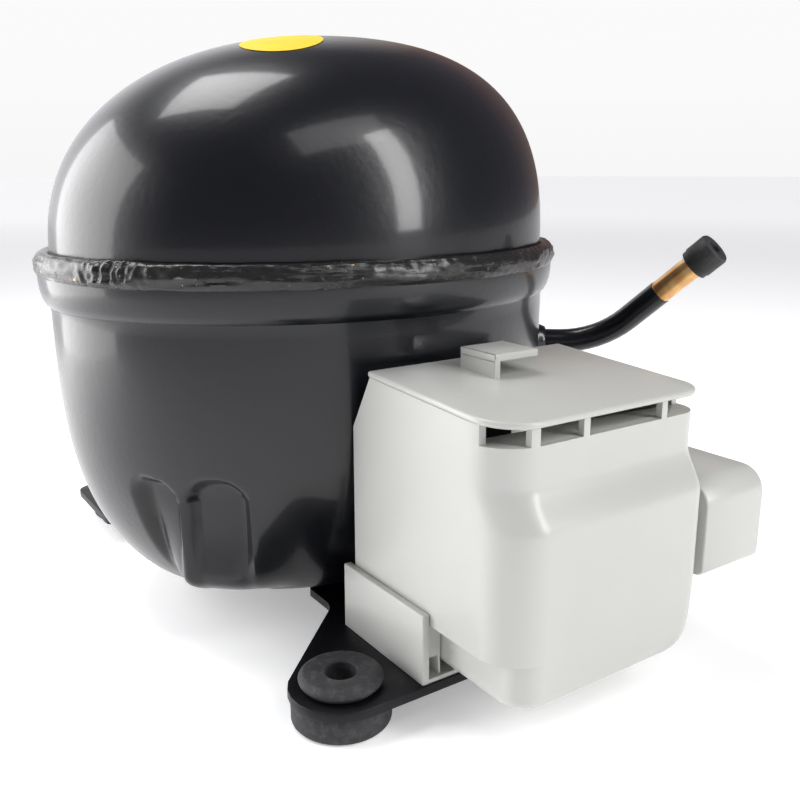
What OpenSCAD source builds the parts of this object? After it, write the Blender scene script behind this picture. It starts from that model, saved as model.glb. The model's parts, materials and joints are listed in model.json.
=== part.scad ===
// Hermetic reciprocating compressor.
// The origin is at the centre of the four mounting holes, on the floor the feet stand on.
// +Z is up and -Y is the side with the electrical cover.

/* [Feet] */
// Distance between mounting holes along X
hole_spacing_x = 101.6; // [95:0.1:125]
// Distance between mounting holes along Y
hole_spacing_y = 203.2; // [169:0.1:245]
// Radius of the hole through each grommet
bolt_hole_r = 4.85; // [3.5:0.05:6]
// Thickness of the base plate
plate_t = 3; // [2:0.1:4]
// Radius of the grommet body under the plate
grommet_r = 15.2; // [13:0.1:18.3]
// Height of the grommet body under the plate
grommet_h = 8.4; // [7:0.1:12]
// Radius of the grommet cap over the plate
grommet_cap_r = 12.8; // [11:0.1:15.4]
// Height of the grommet cap over the plate
grommet_cap_h = 4.2; // [3:0.1:6]
// Radius of the base plate at each foot
foot_r = 16; // [15.5:0.1:19.2]
// How far the rear ears of the plate reach past their holes
rear_ear = 19.2; // [16:0.1:23]

/* [Housing] */
// Half width of the steel housing along X
shell_half_x = 95.6; // [79:0.1:115]
// Half width of the steel housing along Y
shell_half_y = 79.5; // [66:0.1:96]
// Height of the seam between the two halves of the housing
seam_z = 129.3; // [107:0.1:156]
// Height of the dome over the seam
dome_h = 77.7; // [64:0.1:94]
// Wall thickness of the housing
shell_wall = 3; // [2.5:0.1:3.6]
// How far the collar of the lower half stands out at the seam
collar_out = 4.55; // [3.5:0.05:5.5]
// Height of the collar of the lower half
collar_h = 15.6; // [13:0.1:19]
// Radius of the round label on the dome
label_r = 14; // [10:0.5:20]
// Depth of the two pressed pockets low on one corner
pocket_depth = 5; // [0:0.1:6]

/* [Electrical cover] */
// Width of the electrical cover along X
cover_w = 78.2; // [66:0.1:94]
// Depth of the electrical cover from its back edge to its vents
cover_depth = 70.9; // [59:0.1:85]
// Height of the electrical cover over the plate
cover_h = 89.2; // [75:0.1:107]
// Wall thickness of the covers
cover_wall = 2.2; // [1.8:0.1:2.6]
// How far the lower front of the cover bulges past the vents
cover_bulge = 5.6; // [0:0.1:8]
// Height of the row of vents
vent_h = 5.8; // [4.5:0.1:7]
// Width of the small cover over the capacitor
cap_cover_w = 28; // [26:0.1:34]
// Height of the small cover over the capacitor
cap_cover_h = 30.5; // [28:0.1:36]

/* [Tubes] */
// Outer radius of the suction tube
suction_r = 5; // [4.2:0.1:6]
// Outer radius of the discharge and process tubes
small_tube_r = 4; // [3.4:0.1:4.8]
// Wall thickness of the tubes
tube_wall = 0.9; // [0.7:0.05:1.1]
// Length of the straight outer run of the suction tube
suction_run = 41.4; // [34:0.1:50]

/* [Pump] */
// Distance from the shaft axis to the crank pin axis, half the stroke
crank_r = 10; // [8.4:0.1:10.4]
// Radius of the piston
piston_r = 13; // [10.9:0.1:14.8]
// Radius of the crankshaft and its crank pin
shaft_r = 8; // [7.4:0.1:8.6]
// Outer radius of the rotor
rotor_r = 26.9; // [22.5:0.1:27.5]
// Height of the stator stack
stack_h = 45; // [42:0.1:47]
// Gap between the rotor and the stator
air_gap = 0.5; // [0.3:0.05:0.8]
// Mean radius of the suspension springs
spring_r = 6.5; // [6:0.1:7]
// Radius of the spring wire
spring_wire_r = 0.8; // [0.6:0.05:0.9]

/* [Hidden] */
$fn = 64;
ring_sides = 72;

// Running clearance between a shaft and its bore
run_fit = 0.05;
// Clearance between parts that slide past each other in the covers
slide_gap = 0.2;
// Seam clearance between the two halves of the housing
seam_gap = 0.05;

plate_z = grommet_h;
plate_top = grommet_h + plate_t;
shell_x = -1.3;
shell_y = 2;
neck_z = seam_z - collar_h;
neck_growth = 1.01;
bowl_power = 3.9;
lobe_out = 16;
dome_power = 2.39;
dome_z = seam_z + 2.9;
dome_rise = dome_h - 2.9;
dome_shift = 12.1;
front_y = shell_y - shell_half_y;

cover_x0 = -29.35;
cover_x1 = cover_x0 + cover_w;
cover_back = front_y + 2.2;
lid_back = cover_back - 11.1;
cover_front = cover_back - cover_depth;
cover_top = plate_top + cover_h;
lid_drop = 3.6;
cover_base = 15;
step_z = 30.3;
skirt_in = 5;
channel_wall = 2.5;
channel_front = -hole_spacing_y / 2 - foot_r + 0.5;
floor_back = channel_front - 1.5;
vent_sill = cover_top - lid_drop - 2 - vent_h + 1;
bulge_z = cover_top - 28;

cap_x0 = cover_x1 + 3;
cap_z0 = 36;
cap_front = cover_front - 2.8;
cap_back = cap_front + 52;
cap_mid_x = cap_x0 + cap_cover_w / 2;
cap_mid_z = cap_z0 + cap_cover_h / 2;

pump_z = seam_z - 129.3;
stack_z = 52 + pump_z;
case_z = stack_z + stack_h + 16;
web_z = case_z + 13;
pin_z = web_z + 6;
bore_z = pin_z + 13;
stator_bore = rotor_r + air_gap;
slot_in = stator_bore + 3.6;
slot_out = slot_in + 9;
slot_count = 24;
bar_count = 20;
spring_x = 38;
spring_y = 29;
spring_low = 26;
spring_high = 50 + pump_z;
leg_x = 49;
leg_y = 37;
spring_cup_r = spring_r + 1.1;
yoke_half = 16;
block_half = shaft_r + 3;
block_h = 16;
piston_top = crank_r + 49;
piston_len = piston_top - crank_r - yoke_half;
cyl_x0 = crank_r + yoke_half + 0.5;
cyl_x1 = piston_top + 1.3;
head_half_y = piston_r + 6;
head_half_z = piston_r + 6.5;
gasket_t = 0.8;
valve_x = cyl_x1 + gasket_t;
valve_t = 4;
head_x = valve_x + valve_t + gasket_t;
head_t = 12.5;
screw_y = head_half_y - 3.6;
screw_z = head_half_z - 3.6;
port_y = 5;
reed_w = 7;
reed_len = 16;
reed_root_z = bore_z - 9.5;

term_x = 10;
term_z = 62;
term_r = 15;
term_y = front_y - 2;
term_pins = [[0, 6], [-7, -5], [7, -5]];

// Plan place and heading of each tube where it leaves the housing
suction_at = -20.8;
suction_z = 88.7;
discharge_at = 112;
process_at = 64;
rear_tube_z = 92;
small_run = 24;
plug_len = 11;

// Smooth step from 0 at a to 1 at b
function ease(a, b, v) =
    let (u = min(1, max(0, (v - a) / (b - a))))
    u * u * (3 - 2 * u);

// Depth of the pressed pockets at a ring angle and height
function pocket(t, z) =
    let (rows = ease(plate_top + 3, plate_top + 16, z) * (1 - ease(neck_z - 56, neck_z - 52, z)),
         one = 1 - ease(3.5, 7.5, abs(t - 209.5)),
         two = 1 - ease(4, 8, abs(t - 224.5)))
    pocket_depth * rows * max(one, two);

// How far the lower front left corner stands out over its spring post
function lobe(t, z) =
    lobe_out * (1 - ease(4, 21, abs(t - 221)))
    * (1 - ease(plate_top + 2, plate_top + 30, z));

// One ring of points round the housing, pushed out by a distance
function ring(half_x, half_y, out, z, shift = 0, pressed = 0) = [
    for (i = [0 : ring_sides - 1])
        let (t = 360 * i / ring_sides,
             n = [cos(t) / half_x, sin(t) / half_y],
             push = (out - pressed * (pocket(t, z) - lobe(t, z))) / norm(n))
        [shell_x + shift + half_x * cos(t) + push * n[0],
         shell_y + half_y * sin(t) + push * n[1],
         z]];

// Rings of the bowl, from the neck down to the flat bottom
function bowl_rings(inset) = [
    for (a = [0, 14, 24, 33, 41, 49, 56, 63, 70, 76, 81, 85, 87.5])
        let (s = pow(cos(a), 2 / bowl_power),
             u = pow(sin(a), 2 / bowl_power))
        ring((shell_half_x * neck_growth - inset) * s,
             (shell_half_y * neck_growth - inset) * s,
             0, neck_z - (neck_z - plate_top - inset) * u, 0, 1)];

// Rings of the dome, from its straight edge up to its top
function dome_rings(inset, out = 0) = [
    for (a = [0, 16, 28, 38, 47, 56, 64, 72, 79, 84, 87.5])
        let (s = pow(cos(a), 2 / dome_power),
             u = pow(sin(a), 2 / dome_power))
        ring((shell_half_x - inset) * s, (shell_half_y - inset) * s,
             0, dome_z + (dome_rise - inset) * u + out * u, dome_shift * u * u)];

// Height of the inside of the bowl at a place measured from its centre
function floor_at(x, y) =
    let (e = norm([x / (shell_half_x * neck_growth - shell_wall),
                   y / (shell_half_y * neck_growth - shell_wall)]))
    neck_z - (neck_z - plate_top - shell_wall) * pow(1 - pow(e, bowl_power), 1 / bowl_power);

function reversed(list) = [for (i = [len(list) - 1 : -1 : 0]) list[i]];

// A solid from rings that run up its outside and down its inside
module ring_solid(rings, closed = false) {
    sides = len(rings[0]);
    steps = closed ? len(rings) : len(rings) - 1;
    walls = [
        for (k = [0 : steps - 1])
            for (i = [0 : sides - 1])
                let (low = k * sides,
                     high = ((k + 1) % len(rings)) * sides,
                     j = (i + 1) % sides)
                each [[low + i, high + i, high + j], [low + i, high + j, low + j]]];
    last = (len(rings) - 1) * sides;
    caps = closed ? [] : [
        [for (i = [0 : sides - 1]) i],
        [for (i = [sides - 1 : -1 : 0]) last + i]];
    polyhedron(points = [for (r = rings) each r], faces = concat(walls, caps), convexity = 6);
}

// The whole housing as a filled block
module housing_block(inset) {
    ring_solid(concat(reversed(bowl_rings(inset)), dome_rings(inset)));
}

module at_pump() {
    translate([shell_x, shell_y, 0]) children();
}

module tube(r_out, r_in, h) {
    difference() {
        cylinder(r = r_out, h = h);
        translate([0, 0, -1]) cylinder(r = r_in, h = h + 2);
    }
}

// Direction from a plan heading and a rise
function heading(plan, rise) = [cos(plan) * cos(rise), sin(plan) * cos(rise), sin(rise)];

// Point on the housing wall at a ring angle
function wall_point(t, z) = [
    shell_x + shell_half_x * cos(t), shell_y + shell_half_y * sin(t), z];

// Lay children along a direction, with their +Z on it
module along(dir) {
    plan = atan2(dir[1], dir[0]);
    rise = asin(dir[2] / norm(dir));
    rotate([0, 90 - rise, plan]) children();
}

// Each tube is a straight lead, one bend and a straight run:
// [wall point, first direction, lead, bend radius, last direction, run]
suction_path = [wall_point(suction_at, suction_z), heading(-40.4, 0), 13.4, 36.1,
    heading(-69, 42.2), suction_run];
discharge_path = [wall_point(discharge_at, rear_tube_z), heading(100, 0), 10, 18,
    heading(100, 60), small_run];
process_path = [wall_point(process_at, rear_tube_z), heading(62, 0), 10, 18,
    heading(62, 60), small_run];

function bend_angle(path) = acos(path[1] * path[4]);
function bend_side(path) =
    let (v = path[4] - path[1] * (path[1] * path[4]))
    v / norm(v);
function bend_end(path) =
    let (a = bend_angle(path), p = path[0] + path[1] * path[2])
    p + path[3] * (sin(a) * path[1] + (1 - cos(a)) * bend_side(path));
function path_end(path) = bend_end(path) + path[4] * path[5];

// Rings along a path, from inside the wall to the end of its run
function path_rings(path, r, start, run) =
    let (d = path[1],
         n = bend_side(path),
         k = cross(d, n),
         p = path[0] + d * path[2],
         turn = bend_angle(path),
         steps = 8,
         stops = concat(
             [[path[0] - d * start, d]],
             [for (i = [0 : steps])
                 let (a = turn * i / steps)
                 [p + path[3] * (sin(a) * d + (1 - cos(a)) * n), cos(a) * d + sin(a) * n]],
             [[bend_end(path) + path[4] * run, path[4]]]))
    [for (q = stops)
        [for (j = [0 : 23])
            q[0] + r * (cos(15 * j) * k + sin(15 * j) * cross(q[1], k))]];

module hollow_rod(path, r, start, run) {
    ring_solid(concat(
        path_rings(path, r, start, run),
        reversed(path_rings(path, r - tube_wall, start, run))), closed = true);
}

module bore_for(path, r) {
    translate(path[0] - path[1] * 20) along(path[1]) cylinder(r = r, h = 40);
}

module lower_shell() {
    outer = reversed(bowl_rings(0));
    collar = [for (c = [[2.7, 1.6], [4, 5.3], [collar_out, 9.3], [collar_out, 14.6]])
        ring(shell_half_x, shell_half_y, c[0], neck_z + c[1])];
    rim = [
        ring(shell_half_x, shell_half_y, collar_out - 0.7, seam_z),
        ring(shell_half_x, shell_half_y, seam_gap, seam_z),
        ring(shell_half_x, shell_half_y, seam_gap, neck_z + 5)];
    color("#16171a") difference() {
        ring_solid(concat(outer, collar, rim, bowl_rings(shell_wall)));
        translate([term_x, front_y + 25, term_z])
            rotate([90, 0, 0]) cylinder(r = term_r + 0.02, h = 40);
        bore_for(suction_path, suction_r + 0.02);
        bore_for(discharge_path, small_tube_r + 0.02);
        bore_for(process_path, small_tube_r + 0.02);
    }
}

module upper_shell() {
    edge = neck_z + 5.3;
    color("#16171a") ring_solid(concat(
        reversed(dome_rings(shell_wall)),
        [ring(shell_half_x - shell_wall, shell_half_y - shell_wall, 0, edge),
         ring(shell_half_x, shell_half_y, 0, edge)],
        dome_rings(0)));
}

module girth_weld() {
    bead = [[0, 0.05], [collar_out - 0.8, 0.05], [collar_out - 0.5, 1.2],
        [collar_out - 1.6, 2.9], [1.2, 4.1], [0.02, 4.3], [0, 2.9]];
    color("#2b2724") ring_solid([for (b = bead)
        ring(shell_half_x, shell_half_y, b[0], seam_z + b[1])], closed = true);
}

// A thin round sticker that follows the dome
module label_dot() {
    dir = [-0.36, -0.5, 0.78];
    color("#f7b500") difference() {
        intersection() {
            translate([-22.5, -21.5, seam_z + 71]) along(dir) cylinder(r = label_r, h = 30, center = true);
            translate([0, 0, 0.35]) ring_solid(dome_rings(0));
        }
        ring_solid(dome_rings(0));
    }
}

foot_points = [for (sx = [-1, 1], sy = [-1, 1]) [sx * hole_spacing_x / 2, sy * hole_spacing_y / 2]];

function arc(x, y, r, a0, a1, steps = 8) = [
    for (i = [0 : steps]) [x + r * cos(a0 + (a1 - a0) * i / steps),
                           y + r * sin(a0 + (a1 - a0) * i / steps)]];

// Half of the plate outline, up the +X side
function plate_side() =
    let (fx = hole_spacing_x / 2, fy = hole_spacing_y / 2, waist = fx - 24)
    concat(arc(fx, -fy, foot_r, -90, 38),
        arc(waist + 12, -fy + 48, 10, 218, 180, 5),
        [[waist + 2, -42], [waist - 2, -36], [waist - 2, 36], [waist + 2, 42]],
        arc(waist + 12, 56, 10, 180, 90, 5),
        arc(fx + rear_ear - 5, 71, 5, -90, 0, 4),
        arc(fx + rear_ear - 7, fy + foot_r - 7, 7, 0, 90, 6));

module base_plate() {
    side = plate_side();
    color("#17181a") difference() {
        translate([0, 0, plate_z]) linear_extrude(plate_t)
            polygon(concat(side, [for (p = reversed(side)) [-p[0], p[1]]]));
        for (p = foot_points)
            translate([p[0], p[1], plate_z - 1]) cylinder(r = grommet_cap_r - 3.4, h = plate_t + 2);
    }
}

module grommet(p) {
    color("#2f2f33") translate([p[0], p[1], 0]) rotate_extrude()
        polygon([[bolt_hole_r, 0], [grommet_r - 1.2, 0], [grommet_r, 1.2],
            [grommet_r, plate_z - 2.4], [grommet_r - 0.8, plate_z],
            [grommet_cap_r - 3.4, plate_z], [grommet_cap_r - 3.4, plate_top],
            [grommet_cap_r - 1.6, plate_top], [grommet_cap_r, plate_top + 1.8],
            [grommet_cap_r, plate_top + 2.9], [grommet_cap_r - 1.6, plate_top + grommet_cap_h],
            [bolt_hole_r, plate_top + grommet_cap_h]]);
}

module grommet_1() { grommet(foot_points[0]); }
module grommet_2() { grommet(foot_points[1]); }
module grommet_3() { grommet(foot_points[2]); }
module grommet_4() { grommet(foot_points[3]); }

tip_len = 24;

module suction_tube() {
    color("#17181b") hollow_rod(suction_path, suction_r, 8, suction_run - tip_len);
}

module suction_tube_tip() {
    color("#b8763e") translate(bend_end(suction_path) + suction_path[4] * (suction_run - tip_len))
        along(suction_path[4]) tube(suction_r - 0.3, suction_r - tube_wall, tip_len);
}

module discharge_tube() {
    color("#b8763e") hollow_rod(discharge_path, small_tube_r, 8, small_run);
}

module process_tube() {
    color("#b8763e") hollow_rod(process_path, small_tube_r, 8, small_run);
}

// Brazed rings where the tubes leave the housing
module tube_welds() {
    color("#1b1b1e") for (j = [[suction_path, suction_r], [discharge_path, small_tube_r],
            [process_path, small_tube_r]])
        difference() {
            translate(j[0][0] - j[0][1] * 1.5) along(j[0][1]) union() {
                cylinder(r = j[1] + 4.5, h = 5);
                translate([0, 0, 5]) cylinder(r1 = j[1] + 2.6, r2 = j[1] + 1, h = 4);
            }
            bore_for(j[0], j[1] + 0.02);
        }
}

// A rubber cap over the end of a tube
module plug(path, r) {
    color("#1c1c1e") translate(path_end(path) - path[4] * 7) along(path[4]) difference() {
        union() {
            cylinder(r = r + 1.6, h = plug_len - 2);
            translate([0, 0, 2]) cylinder(r = r + 2, h = plug_len - 3);
            translate([0, 0, plug_len - 1]) cylinder(r1 = r + 2, r2 = r + 1.4, h = 1);
        }
        translate([0, 0, -1]) cylinder(r = r + run_fit, h = 8.1);
        translate([0, 0, plug_len - 2.4]) cylinder(r = r - 1.4, h = 4);
    }
}

module suction_plug() { plug(suction_path, suction_r - 0.3); }
module discharge_plug() { plug(discharge_path, small_tube_r); }
module process_plug() { plug(process_path, small_tube_r); }

// Place children on the terminal axis, with +Z pointing out of the housing
module at_terminal() {
    translate([term_x, term_y, term_z]) rotate([90, 0, 0]) children();
}

module terminal_header() {
    color("#9a9aa0") at_terminal() difference() {
        translate([0, 0, -11]) cylinder(r = term_r, h = 11);
        translate([0, 0, -12]) cylinder(r = term_r - 2, h = 9);
        for (p = term_pins) translate([p[0], p[1], -4]) cylinder(r = 3, h = 5);
    }
}

module terminal_glass() {
    color("#3f6f66") at_terminal() for (p = term_pins)
        translate([p[0], p[1], -3.5]) tube(3, 1.6, 4);
}

module terminal_pins() {
    color("#c9c9cc") at_terminal() for (p = term_pins)
        translate([p[0], p[1], -14]) cylinder(r = 1.6, h = 26);
}

module inner_connector() {
    color("#e9e6dc") at_terminal() difference() {
        translate([-12, -11, -16]) cube([24, 22, 5]);
        for (p = term_pins) translate([p[0], p[1], -17]) cylinder(r = 1.62, h = 7);
    }
}

module start_relay() {
    color("#222326") at_terminal() difference() {
        union() {
            translate([-13, -26, 2.5]) cube([34, 23, 17]);
            translate([-9, -22, 19.5]) cube([26, 15, 4]);
        }
        for (p = [term_pins[1], term_pins[2]])
            translate([p[0], p[1], 1]) cylinder(r = 1.62, h = 12);
    }
}

module overload_protector() {
    color("#2a2b2e") at_terminal() difference() {
        union() {
            translate([0, 11, 2.5]) cylinder(r = 13, h = 9);
            translate([0, 11, 11.5]) cylinder(r = 10, h = 3);
        }
        translate([term_pins[0][0], term_pins[0][1], 1]) cylinder(r = 1.62, h = 12);
    }
}

// Long guide beside the cover, fixed on the base plate
module side_channel() {
    x0 = cover_x0 - slide_gap - channel_wall;
    x1 = cover_x0 + skirt_in - 0.25;
    rail = x1 + 4.5;
    length = cover_back + 2.7 - channel_front;
    color("#d3d4cf") translate([0, channel_front, 0]) {
        translate([x0, 0, plate_top]) cube([channel_wall, length, 22.6]);
        difference() {
            translate([x0 + 1, 1.2, plate_top]) cube([x1 - x0 - 1, length - 1.2, step_z - 0.2 - plate_top]);
            translate([x0 + channel_wall, -1, plate_top + 1.5])
                cube([x1 - x0 - channel_wall - 0.8, length + 2, 6.2]);
        }
        translate([x0 + 1, 0, plate_top]) cube([rail + 2 - x0 - 1, length, 1.5]);
        translate([rail, 0, plate_top]) cube([2, length, 13]);
    }
}

// Side outline of the cover, as depth and height
function cover_profile() = [
    [cover_back, cover_base], [cover_back, cover_top - 19.6], [lid_back, cover_top],
    [cover_front, cover_top - lid_drop], [cover_front, bulge_z + 4],
    [cover_front - cover_bulge * 0.3, bulge_z + 1], [cover_front - cover_bulge * 0.75, bulge_z - 3],
    [cover_front - cover_bulge * 0.95, bulge_z - 8], [cover_front - cover_bulge, bulge_z - 17],
    [cover_front - cover_bulge, bulge_z - 26], [cover_front - cover_bulge * 0.8, bulge_z - 36],
    [cover_front - cover_bulge * 0.45, cover_base + 12], [cover_front - cover_bulge * 0.1, cover_base + 4],
    [cover_front + 2.5, cover_base + 0.8], [cover_front + 6, cover_base]];

// Plan outline of the cover, with rounded front corners
function cover_plan(front) = concat(
    [[cover_x1, cover_back], [cover_x0, cover_back]],
    arc(cover_x0 + 13, front + 13, 13, 180, 270),
    arc(cover_x1 - 8, front + 8, 8, 270, 360));

// Front outline of the cover, with rounded lower corners
function cover_face() = concat(
    [[cover_x1, cover_top], [cover_x0, cover_top]],
    arc(cover_x0 + 11, cover_base + 11, 11, 180, 270),
    arc(cover_x1 - 11, cover_base + 11, 11, 270, 360));

module depth_outline(points, inset) {
    rotate([90, 0, 90]) translate([0, 0, cover_x0 - 2]) linear_extrude(cover_w + 4)
        offset(delta = -inset) polygon(points);
}

module cover_block(inset) {
    intersection() {
        depth_outline(cover_profile(), inset);
        union() {
            translate([0, 0, bulge_z + 2]) linear_extrude(60)
                offset(delta = -inset) polygon(cover_plan(cover_front));
            linear_extrude(bulge_z + 2)
                offset(delta = -inset) polygon(cover_plan(cover_front - cover_bulge));
        }
        translate([0, 10, 0]) rotate([90, 0, 0]) linear_extrude(240)
            offset(delta = -inset) polygon(cover_face());
    }
}

// Plain box from one corner to the other
module box(a, b) {
    translate(a) cube(b - a);
}

module electrical_cover() {
    inner_x = cover_x0 + skirt_in + cover_wall;
    deep = cover_front - cover_bulge - 2;
    vents = [[cover_x0 - 2, cover_x0 + 10.5], [cover_x0 + 13.2, cover_x0 + 29],
        [cover_x0 + 31.3, cover_x1 - 18], [cover_x1 - 15.6, cover_x1 + 2]];
    tab_x = cover_x0 + 27.8;
    tab_y = lid_back - 24;
    color("#d3d4cf") union() {
        difference() {
            cover_block(0);
            // inside of the cover, open at the back
            for (back = [0, 6]) translate([0, back, 0]) intersection() {
                cover_block(cover_wall);
                union() {
                    box([cover_x0 - 1, deep, step_z + cover_wall], [cover_x1 + 1, cover_back + 1, 200]);
                    box([inner_x, deep, 0], [cover_x1 + 1, cover_back + 1, step_z + cover_wall + 1]);
                }
            }
            // the left wall steps in over the guide, the right wall clears the foot
            box([cover_x0 - 1, cover_front + 7, 0], [cover_x0 + skirt_in, cover_back + 1, step_z]);
            box([cover_x1 - cover_wall - 1, floor_back, 0], [cover_x1 + 1, cover_back + 1, step_z]);
            box([inner_x, floor_back, 0], [cover_x1 - 1, cover_back + 1, cover_base + cover_wall + 1]);
            // cord inlet through the floor
            box([12, floor_back - 20, 0], [24, floor_back - 10, cover_base + cover_wall + 1]);
            for (v = vents)
                box([v[0], cover_front - 2, vent_sill], [v[1], cover_front + 9, vent_sill + vent_h]);
        }
        // shelf behind the vents
        intersection() {
            cover_block(1);
            box([cover_x0, cover_front, vent_sill - 2], [cover_x1, cover_front + 20, vent_sill]);
        }
        // lid with a small overhang
        intersection() {
            rotate([90, 0, 90]) translate([0, 0, cover_x0 - 1]) linear_extrude(cover_w + 2)
                polygon([[lid_back, cover_top], [lid_back, cover_top - 2],
                    [cover_front - 1, cover_top - lid_drop - 2], [cover_front - 1, cover_top - lid_drop]]);
            linear_extrude(200) offset(delta = 1) polygon(cover_plan(cover_front));
        }
        // cord hook on the lid
        box([tab_x, tab_y, cover_top - 3], [tab_x + 2.2, tab_y + 16.5, cover_top + 6]);
        box([tab_x, tab_y, cover_top + 4], [tab_x + 17, tab_y + 16.5, cover_top + 6]);
    }
}

module capacitor_bracket() {
    color("#8d9093") difference() {
        union() {
            box([cap_x0 + 1, cap_back + slide_gap, cap_z0 + 1],
                [cap_x0 + cap_cover_w - 1, cap_back + slide_gap + 2, cap_z0 + cap_cover_h - 1]);
            box([cap_x0 + 8, cap_back + slide_gap + 1, cap_mid_z - 4],
                [cap_x0 + 16, shell_y - 20, cap_mid_z - 1.5]);
            box([cap_x0 + 8, front_y + 5, cap_mid_z - 12], [cap_x0 + 16, shell_y - 20, cap_mid_z - 1.5]);
        }
        housing_block(0);
    }
}

module run_capacitor() {
    color("#e4e4e0") translate([cap_mid_x, cap_back + slide_gap, cap_mid_z]) rotate([90, 0, 0]) union() {
        cylinder(r = 11.5, h = 40);
        translate([0, 0, 40]) cylinder(r1 = 11.5, r2 = 10.3, h = 1.2);
    }
}

module capacitor_cover() {
    h = cap_cover_h;
    r = 8;
    outline = concat([[cap_back, 0], [cap_back, h]],
        arc(cap_front + r, h - r, r, 90, 180),
        arc(cap_front + 3, 3, 3, 180, 270));
    color("#d3d4cf") difference() {
        rotate([90, 0, 90]) translate([0, cap_z0, cap_x0]) linear_extrude(cap_cover_w)
            polygon(outline);
        rotate([90, 0, 90]) translate([0, cap_z0, cap_x0 + cover_wall])
            linear_extrude(cap_cover_w - 2 * cover_wall) {
                offset(delta = -cover_wall) polygon(outline);
                translate([6, 0]) offset(delta = -cover_wall) polygon(outline);
            }
    }
}

spring_points = [for (sx = [-1, 1], sy = [-1, 1]) [sx * spring_x, sy * spring_y]];

module spring_seats() {
    color("#8f9296") at_pump() for (p = spring_points) translate([p[0], p[1], 0]) {
        foot = floor_at(p[0], p[1]) - 1 - 0.28 * lobe(atan2(p[1], p[0]) + 360, 0);
        translate([0, 0, foot]) cylinder(r = 5, h = spring_low - 1 - foot);
        translate([0, 0, spring_low - 2.2]) cylinder(r = spring_cup_r, h = 2.2);
        translate([0, 0, spring_low - 1]) cylinder(r = spring_r - spring_wire_r - 0.7, h = 7);
    }
}

module spring_stops() {
    color("#8f9296") at_pump() for (p = spring_points) translate([p[0], p[1], 0]) {
        translate([0, 0, spring_high]) cylinder(r = spring_cup_r, h = stack_z - spring_high);
        translate([0, 0, spring_high - 6])
            cylinder(r = spring_r - spring_wire_r - 0.7, h = 6.5);
    }
}

// A coil spring as one swept wire
module spring(p) {
    sides = 6;
    turns = 5;
    steps = 12;
    low = spring_low + spring_wire_r + 0.1;
    high = spring_high - spring_wire_r - 0.1;
    rings = [for (i = [0 : turns * steps])
        let (a = 360 * i / steps, z = low + (high - low) * i / (turns * steps))
        [for (j = [0 : sides - 1])
            let (b = 360 * j / sides, r = spring_r + spring_wire_r * cos(b))
            [r * cos(a), r * sin(a), z + spring_wire_r * sin(b)]]];
    color("#b5b7ba") at_pump() translate([p[0], p[1], 0]) ring_solid(
        [for (r = rings) reversed(r)]);
}

module spring_1() { spring(spring_points[0]); }
module spring_2() { spring(spring_points[1]); }
module spring_3() { spring(spring_points[2]); }
module spring_4() { spring(spring_points[3]); }

leg_points = [for (sx = [-1, 1], sy = [-1, 1]) [sx * leg_x, sy * leg_y]];

module stator_core() {
    half_x = leg_x + 9;
    half_y = leg_y + 9;
    cut = 7;
    color("#7d8085") at_pump() translate([0, 0, stack_z]) difference() {
        linear_extrude(stack_h) polygon([
            [half_x - cut, -half_y], [half_x, cut - half_y], [half_x, half_y - cut],
            [half_x - cut, half_y], [cut - half_x, half_y], [-half_x, half_y - cut],
            [-half_x, cut - half_y], [cut - half_x, -half_y]]);
        translate([0, 0, -1]) cylinder(r = stator_bore, h = stack_h + 2);
        for (i = [0 : slot_count - 1]) rotate([0, 0, 360 * i / slot_count]) {
            translate([stator_bore - 2, -0.7, -1]) cube([5, 1.4, stack_h + 2]);
            translate([slot_in, -1.8, -1]) cube([slot_out - slot_in, 3.6, stack_h + 2]);
        }
        for (p = leg_points) translate([p[0], p[1], -1]) cylinder(r = 2.6, h = stack_h + 2);
    }
}

module stator_winding() {
    low = 15;
    color("#b5672e") at_pump() {
        translate([0, 0, stack_z - low]) tube(slot_out - 1, slot_in + 0.2, low);
        translate([0, 0, stack_z + stack_h]) tube(slot_out - 1, slot_in + 0.2, low);
        for (i = [0 : slot_count - 1]) rotate([0, 0, 360 * i / slot_count])
            translate([slot_in + 0.3, -1.6, stack_z - 1])
                cube([slot_out - slot_in - 1.5, 3.2, stack_h + 2]);
    }
}

module stator_screws() {
    color("#4a4c50") at_pump() for (p = leg_points) translate([p[0], p[1], 0]) {
        translate([0, 0, stack_z]) cylinder(r = 2.5, h = stack_h + 12);
        translate([0, 0, stack_z - 4]) cylinder(r = 4.2, h = 4, $fn = 6);
    }
}

module crankcase() {
    color("#5b5d60") at_pump() difference() {
        union() {
            translate([0, 0, case_z]) linear_extrude(12) union() {
                circle(r = 30);
                translate([0, -head_half_y]) square([cyl_x1, 2 * head_half_y]);
                for (p = leg_points) {
                    translate(p) circle(r = 8);
                    rotate([0, 0, atan2(p[1], p[0])]) translate([0, -7]) square([norm(p), 14]);
                }
                translate([-38, 26]) circle(r = 12);
            }
            translate([0, 0, stack_z + 26]) cylinder(r = 13, h = case_z - stack_z - 25);
            for (p = leg_points) translate([p[0], p[1], stack_z + stack_h]) cylinder(r = 6, h = 17);
            translate([cyl_x0, -head_half_y, case_z + 11])
                cube([cyl_x1 - cyl_x0, 2 * head_half_y, bore_z + head_half_z - case_z - 11]);
        }
        translate([0, 0, stack_z]) cylinder(r = shaft_r + run_fit, h = 100);
        translate([cyl_x0 - 1, 0, bore_z]) rotate([0, 90, 0])
            cylinder(r = piston_r + 0.02, h = cyl_x1 - cyl_x0 + 2);
        for (p = leg_points) translate([p[0], p[1], stack_z]) cylinder(r = 2.52, h = stack_h + 12.5);
        head_holes(cyl_x1 - 14, 20, 1.92);
    }
}

module thrust_washer() {
    color("#b08d4a") at_pump() translate([0, 0, case_z + 12]) tube(12, shaft_r + run_fit, 0.95);
}

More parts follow.
